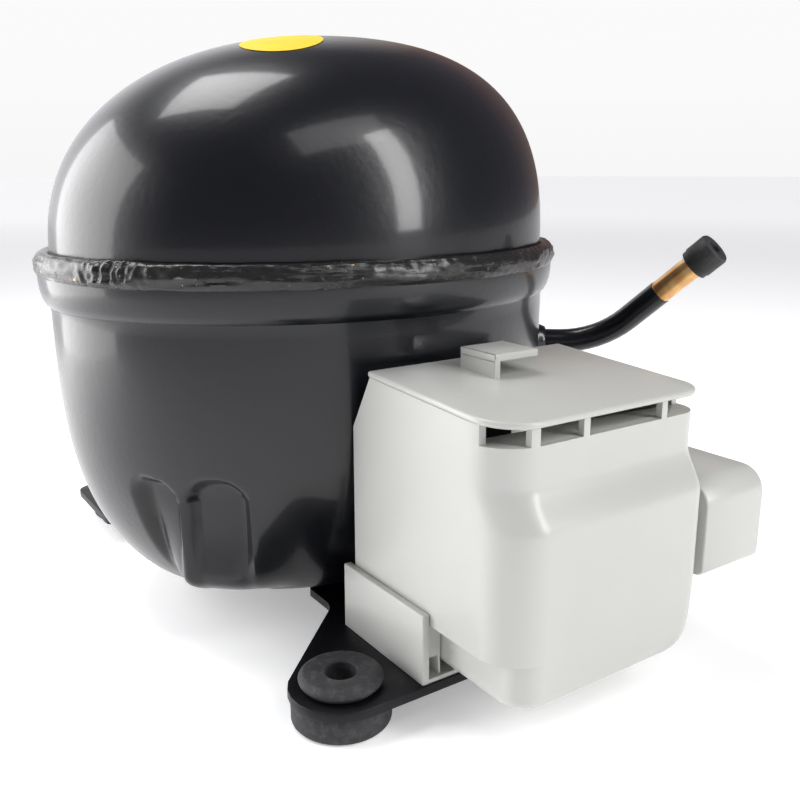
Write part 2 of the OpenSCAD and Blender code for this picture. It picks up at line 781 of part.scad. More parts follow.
module crankshaft() {
    low = stack_z - 12;
    color("#a7a9ad") at_pump() difference() {
        union() {
            translate([0, 0, low]) cylinder(r = shaft_r, h = web_z + 1 - low);
            translate([0, 0, web_z]) cylinder(r = 12, h = 6);
            translate([0, -9, web_z]) cube([crank_r, 18, 6]);
            translate([crank_r, 0, web_z]) cylinder(r = shaft_r + 1, h = 6);
            translate([crank_r, 0, web_z]) cylinder(r = shaft_r, h = 30);
        }
        translate([0, 0, low - 1]) cylinder(r = 3, h = 22);
        translate([crank_r / 2, 0, pin_z + 18]) cylinder(r = 1.53, h = 10);
    }
}

module counterweight() {
    color("#5b5d60") at_pump() translate([0, 0, web_z]) difference() {
        cylinder(r = 25.5, h = 6);
        translate([0, 0, -1]) cylinder(r = 12, h = 8);
        translate([0, -40, -1]) cube([60, 80, 8]);
        rotate([0, 0, 25]) translate([-1, -40, -1]) cube([60, 80, 8]);
        rotate([0, 0, -25]) translate([-1, -40, -1]) cube([60, 80, 8]);
    }
}

module rotor_core() {
    bottom = stack_z + 0.5;
    color("#8b8e92") at_pump() translate([0, 0, bottom]) difference() {
        cylinder(r = rotor_r, h = stack_h - 1);
        translate([0, 0, -1]) cylinder(r = shaft_r, h = stack_h + 2);
        translate([0, 0, 24]) cylinder(r = 14.2, h = stack_h);
        for (i = [0 : bar_count - 1]) rotate([0, 0, 360 * i / bar_count])
            translate([rotor_r - 3.4, 0, -1]) cylinder(r = 1.5, h = stack_h + 2);
    }
}

module rotor_cage() {
    bottom = stack_z + 0.5;
    color("#c3c6ca") at_pump() {
        translate([0, 0, bottom - 5]) tube(rotor_r - 0.9, rotor_r - 10, 5);
        translate([0, 0, bottom + stack_h - 1]) tube(rotor_r - 0.9, rotor_r - 10, 5);
        for (i = [0 : bar_count - 1]) rotate([0, 0, 360 * i / bar_count])
            translate([rotor_r - 3.4, 0, bottom - 1]) cylinder(r = 1.48, h = stack_h + 1);
    }
}

module oil_pickup() {
    low = plate_top + shell_wall + 5;
    color("#a9abae") at_pump() difference() {
        union() {
            translate([0, 0, low]) cylinder(r = 2.98, h = stack_z + 6 - low);
            translate([0, 0, low + 8]) cylinder(r1 = 3, r2 = 5, h = stack_z - 20 - low);
        }
        translate([0, 0, low - 1]) cylinder(r = 2, h = stack_z + 10 - low);
    }
}

module slider_block() {
    color("#8d9094") at_pump() translate([crank_r, 0, bore_z - block_h / 2]) difference() {
        translate([-block_half, -block_half, 0]) cube([2 * block_half, 2 * block_half, block_h]);
        translate([0, 0, -1]) cylinder(r = shaft_r + run_fit, h = block_h + 2);
    }
}

module piston_yoke() {
    slot_x = block_half + 0.05;
    slot_y = block_half + crank_r + 0.5;
    frame_y = slot_y + 5.5;
    frame_h = block_h + 1;
    color("#9a9da1") at_pump() translate([crank_r, 0, bore_z]) difference() {
        union() {
            translate([-yoke_half, -frame_y, -frame_h / 2]) cube([2 * yoke_half, 2 * frame_y, frame_h]);
            translate([yoke_half - 1, 0, 0]) rotate([0, 90, 0]) cylinder(r = piston_r, h = piston_len + 1);
        }
        translate([-slot_x, -slot_y, -frame_h]) cube([2 * slot_x, 2 * slot_y, 2 * frame_h]);
        for (g = [5, 9]) translate([yoke_half + piston_len - g, 0, 0]) rotate([0, 90, 0])
            difference() {
                cylinder(r = piston_r + 1, h = 0.8);
                cylinder(r = piston_r - 0.5, h = 0.8);
            }
    }
}

module oil_gallery_plug() {
    color("#c0a060") at_pump() translate([crank_r / 2, 0, pin_z + 18.1]) cylinder(r = 1.5, h = 6.5);
}

// Four screw holes or screws along the cylinder axis
module head_holes(x, length, r) {
    for (sy = [-1, 1], sz = [-1, 1])
        translate([x, sy * screw_y, bore_z + sz * screw_z]) rotate([0, 90, 0])
            cylinder(r = r, h = length);
}

// A flat plate across the end of the cylinder
module end_plate(x, t) {
    translate([x, -head_half_y, bore_z - head_half_z]) cube([t, 2 * head_half_y, 2 * head_half_z]);
}

module cylinder_gasket() {
    color("#6b6258") at_pump() difference() {
        end_plate(cyl_x1, gasket_t);
        translate([cyl_x1 - 1, 0, bore_z]) rotate([0, 90, 0]) cylinder(r = piston_r + 1, h = 3);
        head_holes(cyl_x1 - 1, 3, 2.1);
    }
}

// A thin leaf on one side of the valve plate
module reed(x, y, t) {
    at_pump() {
        translate([x, y - reed_w / 2, reed_root_z]) cube([t, reed_w, reed_len]);
        translate([x, y, reed_root_z + reed_len]) rotate([0, 90, 0]) cylinder(r = reed_w / 2, h = t);
    }
}

module suction_reed() { color("#d0d3d6") reed(valve_x - 0.35, -port_y, 0.3); }
module discharge_reed() { color("#d0d3d6") reed(valve_x + valve_t + 0.05, port_y, 0.3); }

module valve_plate() {
    color("#9fa2a6") at_pump() difference() {
        end_plate(valve_x, valve_t);
        for (y = [-port_y, port_y]) translate([valve_x - 1, y, reed_root_z + reed_len])
            rotate([0, 90, 0]) cylinder(r = 2.4, h = valve_t + 2);
        head_holes(valve_x - 1, valve_t + 2, 2.1);
    }
}

module reed_stop() {
    x = valve_x + valve_t;
    color("#8a8d91") at_pump() translate([0, port_y - reed_w / 2, 0]) {
        translate([x, 0, reed_root_z - 4]) cube([3, reed_w, 3.6]);
        translate([x + 2, 0, reed_root_z - 4]) cube([1.2, reed_w, reed_len + 6]);
    }
}

module head_room(x, length) {
    translate([x, -piston_r + 1.5, bore_z - piston_r - 3.6])
        cube([length, 2 * piston_r - 3, 2 * piston_r + 5.6]);
}

module head_gasket() {
    color("#6b6258") at_pump() difference() {
        end_plate(valve_x + valve_t, gasket_t);
        head_room(valve_x + valve_t - 1, 3);
        head_holes(valve_x + valve_t - 1, 3, 2.1);
    }
}

module cylinder_head() {
    color("#b4b7ba") at_pump() difference() {
        end_plate(head_x, head_t);
        head_room(head_x - 1, head_t - 2);
        head_holes(head_x - 1, head_t + 2, 2.1);
    }
}

module head_screws() {
    color("#4a4c50") at_pump() {
        head_holes(cyl_x1 - 12, head_x + head_t - cyl_x1 + 12.5, 1.9);
        for (sy = [-1, 1], sz = [-1, 1])
            translate([head_x + head_t, sy * screw_y, bore_z + sz * screw_z]) rotate([0, 90, 0])
                cylinder(r = 3.4, h = 3.2, $fn = 6);
    }
}

module suction_muffler() {
    y0 = head_half_y + 3;
    color("#e6e2d4") at_pump() translate([0, 0, case_z + 14]) difference() {
        union() {
            translate([cyl_x0 + 4, y0, 0]) cube([28, 26, 36]);
            translate([cyl_x0 + 3, y0 - 0.6, 26]) cube([30, 27.2, 3]);
            translate([cyl_x0 + 30, head_half_y, 14]) cube([head_x + 8 - cyl_x0 - 30, 8, 10]);
        }
        translate([cyl_x0 + 6, y0 + 2, 2]) cube([24, 22, 32]);
        translate([cyl_x0 + 12, y0 + 20, 20]) cube([12, 10, 4]);
    }
}

module discharge_muffler() {
    color("#6c6f73") at_pump() translate([-38, 26, case_z + 12]) difference() {
        union() {
            cylinder(r = 10.8, h = 22);
            translate([0, 0, 22]) cylinder(r1 = 10.8, r2 = 6, h = 3);
        }
        translate([0, 0, 2]) cylinder(r = 9, h = 18);
    }
}

// Hand-picked points of the flexible discharge tube inside the housing
loop_start = [-38, 26 + 11.2, case_z + 28];
loop_points = [loop_start, loop_start + [0, 7, 0], [-22, shell_half_y - 24, case_z + 28],
    [12, shell_half_y - 19, case_z + 24], [38, shell_half_y - 29, case_z + 10],
    [16, shell_half_y - 19, case_z - 8], [-10, shell_half_y - 16, case_z - 18],
    [-24, shell_half_y - 17, rear_tube_z + 1]];

// Point on a smooth curve through the loop points
function loop_at(s) =
    let (n = len(loop_points) - 1, i = min(n - 1, floor(s)), u = s - i,
         p0 = loop_points[max(0, i - 1)], p1 = loop_points[i],
         p2 = loop_points[i + 1], p3 = loop_points[min(n, i + 2)])
    0.5 * (2 * p1 + (p2 - p0) * u + (2 * p0 - 5 * p1 + 4 * p2 - p3) * u * u
        + (3 * p1 - p0 - 3 * p2 + p3) * u * u * u);

module discharge_loop() {
    r = 2.4;
    sides = 8;
    count = 5 * (len(loop_points) - 1);
    rings = [for (k = [0 : count])
        let (s = k / 5,
             p = loop_at(s),
             d = loop_at(min(s + 0.02, len(loop_points) - 1.001)) - loop_at(max(s - 0.02, 0)),
             f = d / norm(d),
             a = cross(f, [0, 0, 1]) / norm(cross(f, [0, 0, 1])),
             b = cross(a, f))
        [for (j = [0 : sides - 1]) p + r * (cos(360 * j / sides) * a + sin(360 * j / sides) * b)]];
    color("#a8743f") at_pump() ring_solid(rings);
}

lower_shell();
upper_shell();
girth_weld();
label_dot();
base_plate();
grommet_1();
grommet_2();
grommet_3();
grommet_4();
suction_tube();
suction_tube_tip();
tube_welds();
discharge_tube();
process_tube();
suction_plug();
discharge_plug();
process_plug();
terminal_header();
terminal_glass();
terminal_pins();
inner_connector();
start_relay();
overload_protector();
side_channel();
electrical_cover();
capacitor_bracket();
run_capacitor();
capacitor_cover();
spring_seats();
spring_1();
spring_2();
spring_3();
spring_4();
spring_stops();
stator_core();
stator_winding();
stator_screws();
crankcase();
thrust_washer();
crankshaft();
counterweight();
rotor_core();
rotor_cage();
oil_pickup();
slider_block();
piston_yoke();
oil_gallery_plug();
cylinder_gasket();
suction_reed();
valve_plate();
discharge_reed();
reed_stop();
head_gasket();
cylinder_head();
head_screws();
suction_muffler();
discharge_muffler();
discharge_loop();
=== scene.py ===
import bpy, bmesh, json, math
from mathutils import Vector, Matrix, noise


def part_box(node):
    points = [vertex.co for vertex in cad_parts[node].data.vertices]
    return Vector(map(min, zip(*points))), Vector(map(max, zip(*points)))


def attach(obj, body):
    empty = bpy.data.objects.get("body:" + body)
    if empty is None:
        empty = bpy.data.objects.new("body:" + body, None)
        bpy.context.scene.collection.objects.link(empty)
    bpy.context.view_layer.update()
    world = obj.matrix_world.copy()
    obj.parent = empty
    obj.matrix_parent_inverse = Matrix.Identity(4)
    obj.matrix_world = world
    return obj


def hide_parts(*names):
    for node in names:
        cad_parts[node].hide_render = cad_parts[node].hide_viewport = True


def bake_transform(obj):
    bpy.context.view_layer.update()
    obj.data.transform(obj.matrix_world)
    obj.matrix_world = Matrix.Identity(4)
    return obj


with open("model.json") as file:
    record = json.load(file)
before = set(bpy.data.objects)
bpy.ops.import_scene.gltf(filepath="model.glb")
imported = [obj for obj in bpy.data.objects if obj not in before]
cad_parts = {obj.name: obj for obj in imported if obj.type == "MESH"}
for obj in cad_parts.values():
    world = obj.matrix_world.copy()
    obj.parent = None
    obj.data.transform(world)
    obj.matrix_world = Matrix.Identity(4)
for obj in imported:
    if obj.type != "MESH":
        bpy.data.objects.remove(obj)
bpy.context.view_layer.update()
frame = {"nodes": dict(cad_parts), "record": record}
nodes = frame["nodes"]

# Viewpoint and studio.
# The camera stands low at the front left corner of the compressor. The room is a plain pale sweep
# with a tall softbox at the front right, a wide one high in front, one overhead and a left panel.
lens = bpy.data.cameras.new("view")
lens.sensor_width = 36
lens.lens = 39.87
camera = bpy.data.objects.new("view", lens)
bpy.context.scene.collection.objects.link(camera)
view_place = (-0.1683, -0.3061, 0.1586)
view_heading, view_drop, view_roll = -34.19, 13.91, -0.12
camera.matrix_world = (Matrix.Translation(view_place)
                       @ Matrix.Rotation(math.radians(view_heading), 4, "Z")
                       @ Matrix.Rotation(math.radians(90 - view_drop), 4, "X")
                       @ Matrix.Rotation(math.radians(view_roll), 4, "Z"))
lens.clip_start = 0.01
bpy.context.scene.camera = camera

bpy.ops.object.select_all(action="DESELECT")
bpy.ops.mesh.primitive_plane_add(size=60, location=(0, 0, 0))
floor = bpy.context.object
floor.name = "studio_floor"

world = bpy.data.worlds.new("studio")
bpy.context.scene.world = world
world.use_nodes = True
room = world.node_tree
aim = room.nodes.new("ShaderNodeTexCoord")
axes = room.nodes.new("ShaderNodeSeparateXYZ")
room.links.new(aim.outputs["Generated"], axes.inputs[0])


def shade(channel, stops):
    """A ramp of light along one direction of the room, from -1 to 1."""
    lift = room.nodes.new("ShaderNodeMapRange")
    lift.inputs["From Min"].default_value, lift.inputs["From Max"].default_value = -1, 1
    ramp = room.nodes.new("ShaderNodeValToRGB")
    while len(ramp.color_ramp.elements) < len(stops):
        ramp.color_ramp.elements.new(0.5)
    for stop, (place, value) in zip(ramp.color_ramp.elements, stops):
        stop.position, stop.color = place, (*value, 1)
    room.links.new(axes.outputs[channel], lift.inputs["Value"])
    room.links.new(lift.outputs["Result"], ramp.inputs["Fac"])
    return ramp.outputs["Color"]


def blend_light(mode, first, second):
    """Mixes two lights of the room; mode is MULTIPLY or LIGHTEN."""
    both = room.nodes.new("ShaderNodeMix")
    both.data_type, both.blend_type = "RGBA", mode
    both.inputs["Factor"].default_value = 1
    room.links.new(first, both.inputs["A"])
    room.links.new(second, both.inputs["B"])
    return both.outputs["Result"]


across = shade("X", ((0.0, (1.5, 1.5, 1.55)), (0.70, (1.3, 1.3, 1.35)), (0.80, (0.30, 0.20, 0.15)),
                     (1.0, (0.25, 0.20, 0.18))))
away_from_view = shade("Y", ((0.30, (0.03, 0.03, 0.03)), (0.46, (0.25, 0.25, 0.26)),
                             (0.62, (0.9, 0.9, 0.9)), (1.0, (1.0, 1.0, 1.0))))
level = shade("Z", ((0.50, (1.0, 1.0, 1.0)), (0.72, (0.9, 0.9, 0.9)), (0.86, (0.12, 0.12, 0.13))))
walls = blend_light("MULTIPLY", blend_light("MULTIPLY", across, away_from_view), level)
dim = shade("Z", ((0.50, (0.16, 0.16, 0.18)), (1.0, (0.12, 0.12, 0.14))))
lit_room = blend_light("LIGHTEN", walls, dim)
path = room.nodes.new("ShaderNodeLightPath")
seen = room.nodes.new("ShaderNodeMix")
seen.data_type = "RGBA"
room.links.new(path.outputs["Is Camera Ray"], seen.inputs["Factor"])
room.links.new(lit_room, seen.inputs["A"])
backdrop = shade("Z", ((0.5, (0.93, 0.93, 0.93)), (0.56, (0.96, 0.96, 0.96))))
room.links.new(backdrop, seen.inputs["B"])
room.links.new(seen.outputs["Result"], room.nodes["Background"].inputs["Color"])
room.nodes["Background"].inputs["Strength"].default_value = 1.0
bpy.context.scene.view_settings.view_transform = "Standard"


def softbox(name, place, aim, width, height, power):
    """A plain rectangular light that faces a point."""
    light = bpy.data.lights.new(name, "AREA")
    light.shape = "RECTANGLE"
    light.size, light.size_y, light.energy = width, height, power
    lamp = bpy.data.objects.new(name, light)
    lamp.location = place
    lamp.rotation_euler = (Vector(aim) - Vector(place)).to_track_quat("-Z", "Y").to_euler()
    bpy.context.scene.collection.objects.link(lamp)


softbox("front_softbox", (0.50, -1.05, 0.72), (0, 0, 0.12), 0.24, 1.15, 12)
softbox("wide_softbox", (0.10, -0.95, 1.50), (0, 0, 0.12), 0.9, 0.5, 3.5)
softbox("top_softbox", (-0.24, 0.42, 1.35), (-0.05, 0, 0.15), 0.6, 0.6, 9)
softbox("left_panel", (-0.40, 0.28, 0.24), (0, 0, 0.12), 0.50, 0.5, 3.4)


# Pressed steel housing, upper half.
# It is a deep drawn dome, painted gloss black. Its finish shows a slight orange peel and soft
# cloudy changes of gloss, which the class below writes as plain sums of noise.
class Field:
    """A value that varies over a surface, as a socket of the material being written."""
    tree = None

    def __init__(self, socket):
        self.socket = socket

    @staticmethod
    def node(kind, settings=None, **values):
        made = Field.tree.nodes.new(kind)
        for name, value in (settings or {}).items():
            setattr(made, name, value)
        for name, value in values.items():
            slot = made.inputs[int(name[1:]) if name[0] == "_" else name.replace("_", " ")]
            if isinstance(value, Field):
                Field.tree.links.new(value.socket, slot)
            else:
                slot.default_value = value
        return made

    def math(self, operation, other, flip=False):
        first, second = (other, self) if flip else (self, other)
        return Field(Field.node("ShaderNodeMath", {"operation": operation},
                                _0=first, _1=second).outputs[0])

    def __add__(self, other):
        return self.math("ADD", other)

    def __radd__(self, other):
        return self.math("ADD", other, True)

    def __mul__(self, other):
        return self.math("MULTIPLY", other)

    def __rmul__(self, other):
        return self.math("MULTIPLY", other, True)

    def between(self, low, high):
        return Field(Field.node("ShaderNodeMapRange", {"interpolation_type": "SMOOTHSTEP"},
                                Value=self, From_Min=low, From_Max=high).outputs[0])


def new_finish(name):
    made = bpy.data.materials.new(name)
    made.use_nodes = True
    Field.tree = made.node_tree
    return made, made.node_tree.nodes["Principled BSDF"]


def place_on_piece(scale=(1, 1, 1)):
    where = Field(Field.node("ShaderNodeTexCoord").outputs["Object"])
    return Field(Field.node("ShaderNodeMapping", None, Vector=where, Scale=scale).outputs[0])


def cloud(scale, detail=3, rough=0.5, where=None):
    return Field(Field.node("ShaderNodeTexNoise", None, Vector=where or place_on_piece(),
                            Scale=scale, Detail=detail, Roughness=rough).outputs["Fac"])


def tint(amount, first, second):
    """The first colour where amount is 0, the second where it is 1."""
    return Field(Field.node("ShaderNodeMix", {"data_type": "RGBA"}, _0=amount,
                            _6=(*first, 1), _7=(*second, 1)).outputs[2])


def wire(shader, **values):
    for name, value in values.items():
        slot = shader.inputs[name.replace("_", " ")]
        if isinstance(value, Field):
            Field.tree.links.new(value.socket, slot)
        else:
            slot.default_value = value


def relief(height, strength, distance):
    return Field(Field.node("ShaderNodeBump", None, Height=height, Strength=strength,
                            Distance=distance).outputs[0])


enamel, shader = new_finish("gloss_black_enamel")
peel = cloud(420, 2)
haze = cloud(16, 4)
dust = cloud(1500, 2).between(0.70, 0.78)
wire(shader, Base_Color=tint(dust * 0.2, (0.0036, 0.0040, 0.0062), (0.10, 0.10, 0.10)),
     Roughness=0.24 + haze * 0.14 + dust * 0.2, Specular_IOR_Level=0.30,
     Coat_Weight=0.42, Coat_Roughness=0.10,
     Normal=relief(peel + cloud(60, 3) * 1.5, 0.10, 0.0006))


def wear(obj, finish):
    obj.data.materials.clear()
    obj.data.materials.append(finish)


def belongs(piece, body, slot, *replaced_nodes):
    """Says which body a piece rides on and what it stands for; the slot argument is not used."""
    if replaced_nodes:
        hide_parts(*replaced_nodes)
    if body:
        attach(piece, body)


def pick(made):
    bpy.ops.object.select_all(action="DESELECT")
    made.select_set(True)
    bpy.context.view_layer.objects.active = made


def loft(name, sides, levels, centre, close_bottom=False, close_top=False):
    """A circle drawn up ring by ring; each level is (height, half x, half y, shift x)."""
    bpy.ops.object.select_all(action="DESELECT")
    z, half_x, half_y, shift = levels[0]
    bpy.ops.mesh.primitive_circle_add(vertices=sides, radius=1,
                                      fill_type="NGON" if close_bottom else "NOTHING",
                                      location=(centre[0] + shift, centre[1], z))
    made = bpy.context.object
    made.name = name
    made.scale = (half_x, half_y, 1)
    bpy.ops.object.transform_apply(location=True, rotation=True, scale=True)
    bpy.ops.object.mode_set(mode="EDIT")
    bpy.ops.mesh.select_all(action="SELECT")
    for (z0, x0, y0, s0), (z1, x1, y1, s1) in zip(levels, levels[1:]):
        bpy.ops.mesh.extrude_edges_move(TRANSFORM_OT_translate={"value": (s1 - s0, 0, z1 - z0)})
        bpy.ops.transform.resize(value=(x1 / x0, y1 / y0, 1),
                                 center_override=(centre[0] + s1, centre[1], z1))
    if close_top:
        bpy.ops.mesh.edge_face_add()
    bpy.ops.mesh.select_all(action="SELECT")
    bpy.ops.mesh.normals_make_consistent(inside=False)
    bpy.ops.object.mode_set(mode="OBJECT")
    bpy.ops.object.shade_smooth_by_angle(angle=math.radians(35))
    return made


def sheet_metal(made, thickness):
    """Gives an open pressing its wall, inwards from the outer face."""
    pick(made)
    wall = made.modifiers.new("wall", "SOLIDIFY")
    wall.thickness, wall.offset = thickness, -1
    bpy.ops.object.modifier_apply(modifier=wall.name)
    bpy.ops.object.shade_smooth_by_angle(angle=math.radians(35))


shell_centre = (-0.0013, 0.002)
half_x, half_y = 0.0956, 0.0795
steel_wall = 0.003
dome_start, dome_rise, dome_power, dome_lean = 0.1322, 0.0748, 2.39, 0.0121
dome_lip, dome_straight, dome_steps = 0.1190, 0.1290, 40
dome_levels = [(dome_lip, half_x, half_y, 0), (dome_straight, half_x, half_y, 0)]
for step in range(dome_steps + 1):
    turn = math.radians(89.0 * step / dome_steps)
    shrink = math.cos(turn) ** (2 / dome_power)
    rise = math.sin(turn) ** (2 / dome_power)
    height = dome_start + dome_rise * rise - 0.00001 * (dome_steps - step)
    dome_levels.append((height, half_x * shrink, half_y * shrink, dome_lean * rise * rise))
dome = loft("dome", 240, dome_levels, shell_centre, close_top=True)
sheet_metal(dome, steel_wall)
wear(dome, enamel)
belongs(dome, "housing", "shell_black", "upper_shell")

# Pressed steel housing, lower half.
# The bowl widens into a rolled collar that laps the dome. Two pockets are pressed into one lower
# corner, with a firm ledge over them and a soft ridge between, and the corner bulges out below.
neck, neck_growth = 0.1137, 1.01


def ease(low, high, value):
    t = min(1, max(0, (value - low) / (high - low)))
    return t * t * (3 - 2 * t)


bowl_power, bowl_tip, bowl_foot, foot_round = 3.02, -0.0003, 0.0114, 0.006


def bowl_shrink(height):
    """The bowl's width at a height, as a share of its width at the neck."""
    depth = min(1, (neck - height) / (neck - bowl_tip))
    tuck = max(0, 1 - (height - bowl_foot) / foot_round)
    rounded = 1 - 0.24 * (1 - math.sqrt(1 - tuck * tuck))
    return (1 - depth ** bowl_power) ** (1 / bowl_power) * rounded


heights = [bowl_foot + d for d in (0.0, 0.0003, 0.0009, 0.0018, 0.0029, 0.0041, 0.0053)]
heights += [0.0178 + 0.0010 * step for step in range(50)]
heights += [0.0695 + 0.0025 * step for step in range(18)]
bowl_levels = [(height, half_x * neck_growth * bowl_shrink(height),
                half_y * neck_growth * bowl_shrink(height), 0) for height in heights]
for out, up in ((0.0012, 0.0004), (0.0026, 0.0016), (0.0035, 0.0035), (0.0042, 0.0062),
                (0.0045, 0.0093), (0.00455, 0.0140), (0.0043, 0.0150), (0.0038, 0.0156),
                (0.0003, 0.0156)):
    bowl_levels.append((neck + up, half_x + out, half_y + out, 0))
bowl = loft("bowl", 480, bowl_levels, shell_centre, close_bottom=True)


metres_a_degree = 0.0015
pressed_depth = 0.0046
left_pocket, right_pocket, right_top = 209.2, 224.2, 0.0640
corner_angle, corner_reach, corner_round = 222, 0.960, 0.018


def pocket_depth(around, height, middle, half_width, top, corner):
    """How deep a pressed pocket is at a ring angle and height; its edge is a rounded box."""
    wide = (abs(around - middle) - half_width) * metres_a_degree + corner
    tall = height - top + corner
    edge = math.hypot(max(wide, 0), max(tall, 0)) + min(max(wide, tall), 0) - corner
    soft = 0.0052 - 0.0026 * ease(middle - half_width, middle + half_width * 0.4, around)
    return (1 - ease(-soft, 0.0006, edge)) * (0.12 + 0.88 * ease(0.016, 0.048, height))


for point in bowl.data.vertices:
    spot = point.co
    if spot.z > 0.08:
        continue
    around = math.degrees(math.atan2((spot.y - shell_centre[1]) / half_y,
                                     (spot.x - shell_centre[0]) / half_x)) % 360
    shrink = bowl_shrink(max(spot.z, bowl_foot))
    underside = max(0, 1 - (spot.z - bowl_foot) / corner_round)
    standing = corner_reach * math.sqrt(max(0, 1 - underside ** 2.1))
    gain = max(0, standing - shrink)
    gain = gain * gain / (gain + 0.006) if gain > 0 else 0
    bulge_out = gain * (1 - ease(4, 20, abs(around - corner_angle)))
    grow = (shrink + bulge_out) / shrink
    x = shell_centre[0] + (spot.x - shell_centre[0]) * grow
    y = shell_centre[1] + (spot.y - shell_centre[1]) * grow
    away = Vector((x - shell_centre[0], (y - shell_centre[1]) * 1.3, 0)).normalized()
    left_top = 0.0635 - 0.00025 * abs(around - 207)
    deep = max(pocket_depth(around, spot.z, left_pocket, 6.2, left_top, 0.007),
               pocket_depth(around, spot.z, right_pocket, 7.4, right_top, 0.0095))
    point.co = Vector((x, y, spot.z)) - away * pressed_depth * deep
sheet_metal(bowl, steel_wall)
wear(bowl, enamel)
belongs(bowl, "housing", "shell_black", "lower_shell")

# Girth weld.
# A thick bead of weld metal closes the seam. It was laid in one run, so it is lumpy all along and
# overlaps itself in a blob at the left, and some bright spatter shows through the paint.
weld_finish, shader = new_finish("painted_weld")
lumps = cloud(110, 4, 0.6, place_on_piece((1, 1, 6)))
spots = cloud(700, 2).between(0.70, 0.74)
wire(shader, Base_Color=tint(spots, (0.012, 0.0115, 0.0115), (0.42, 0.25, 0.10)),
     Metallic=spots * 0.8, Roughness=0.20 + lumps * 0.16,
     Normal=relief(lumps + cloud(900, 3) * 0.3, 0.35, 0.0008))
bead_out, bead_height, bead_half_width, bead_half_height = 0.0022, 0.1283, 0.0033, 0.0046
bead_start, bead_sweep, bead_steps, blob_angle = -52, 196, 18, 203
bead_levels = []
for step in range(bead_steps + 1):
    turn = math.radians(bead_start + bead_sweep * step / bead_steps)
    out = bead_out + bead_half_width * math.cos(turn)
    bead_levels.append((bead_height + bead_half_height * math.sin(turn) + 0.0000005 * step,
                        half_x + out, half_y + out, 0))
bead_levels.append(bead_levels[0])
weld = loft("weld_bead", 900, bead_levels, shell_centre)
mesh = bmesh.new()
mesh.from_mesh(weld.data)
bmesh.ops.remove_doubles(mesh, verts=mesh.verts, dist=0.000002)
bmesh.ops.recalc_face_normals(mesh, faces=mesh.faces)
for point in mesh.verts:
    spot = point.co
    around = math.degrees(math.atan2(spot.y - shell_centre[1], spot.x - shell_centre[0])) % 360
    away = Vector((spot.x - shell_centre[0], spot.y - shell_centre[1], 0)).normalized()
    free = ease(0.1240, 0.1262, spot.z)
    long_ridges = noise.noise(Vector((around * 0.10, spot.z * 750, 3.1))) * 0.0010
    short_ridges = noise.noise(Vector((around * 0.45, spot.z * 420, 9))) * 0.0004
    grit = noise.noise(spot * 420) * 0.00012
    near_blob = 1 - ease(2, 11, abs(around - blob_angle))
    folds = noise.noise(Vector((around * 0.9, spot.z * 260 + around * 0.35, 1))) * 0.0016
    point.co = spot + (away * 0.8 + Vector((0, 0, 0.3))) * free * (
        long_ridges + short_ridges + grit + near_blob * (0.0013 + folds))
mesh.to_mesh(weld.data)
mesh.free()
bpy.ops.object.shade_smooth_by_angle(angle=math.radians(70))
wear(weld, weld_finish)
belongs(weld, "housing", "weld", "girth_weld")

# Round paper label.
# A plain yellow dot is stuck on the dome. It is a paper disc in warm yellow ink with a faint
# paper grain, and it follows the dome's curve.
def apply_all(made):
    bpy.context.view_layer.objects.active = made
    for modifier in list(made.modifiers):
        bpy.ops.object.modifier_apply(modifier=modifier.name)


ink, shader = new_finish("yellow_paper")
wire(shader, Base_Color=tint(cloud(90, 3), (0.95, 0.60, 0.004), (0.98, 0.68, 0.012)),
     Roughness=0.42 + cloud(300, 2) * 0.15, Normal=relief(cloud(1500, 2), 0.1, 0.0002))
low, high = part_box("label_dot")
dot = ((low[0] + high[0]) / 2, (low[1] + high[1]) / 2)
dot_radius, above_dome, dot_rings = (high[0] - low[0]) / 2, 0.21, 10
glue, paper_thickness = 0.00014, 0.0001
bpy.ops.object.select_all(action="DESELECT")
bpy.ops.mesh.primitive_circle_add(vertices=72, radius=dot_radius, location=(*dot, above_dome))
sticker = bpy.context.object
sticker.name = "round_label"
bpy.ops.object.transform_apply(location=True)
bpy.ops.object.mode_set(mode="EDIT")
for step in range(dot_rings - 1, 0, -1):
    shrink = step / (step + 1)
    bpy.ops.mesh.extrude_edges_move()
    bpy.ops.transform.resize(value=(shrink, shrink, 1), center_override=(*dot, above_dome))
bpy.ops.mesh.edge_face_add()
bpy.ops.object.mode_set(mode="OBJECT")
bpy.context.view_layer.update()
for point in sticker.data.vertices:
    place = dome.ray_cast(point.co, (0, 0, -1))[1]
    point.co.z = place.z + glue
paper = sticker.modifiers.new("paper", "SOLIDIFY")
paper.thickness, paper.offset = paper_thickness, 1
apply_all(sticker)
bpy.ops.object.mode_set(mode="EDIT")
bpy.ops.mesh.select_all(action="SELECT")
bpy.ops.mesh.normals_make_consistent(inside=False)
bpy.ops.object.mode_set(mode="OBJECT")
bpy.ops.object.shade_smooth_by_angle(angle=math.radians(40))
wear(sticker, ink)
belongs(sticker, "housing", "label", "label_dot")

# Base plate and rubber feet.
# The plate is pressed steel in satin black. The grommets are moulded dark rubber, dusty and mottled,
# with a parting line and rounded lips.
def seal(made):
    """Welds the hairline gaps that a cut or a bevel leaves in a closed mesh."""
    pick(made)
    bpy.ops.object.mode_set(mode="EDIT")
    bpy.ops.mesh.select_all(action="SELECT")
    bpy.ops.mesh.remove_doubles(threshold=0.00002)
    bpy.ops.mesh.dissolve_degenerate(threshold=0.00001)
    bpy.ops.mesh.select_all(action="DESELECT")
    bpy.ops.mesh.select_non_manifold(extend=False, use_wire=False, use_boundary=True,
                                     use_multi_face=False, use_non_contiguous=False, use_verts=False)
    bpy.ops.mesh.fill_holes(sides=12)
    bpy.ops.mesh.select_all(action="SELECT")
    bpy.ops.mesh.quads_convert_to_tris()
    bpy.ops.object.mode_set(mode="OBJECT")


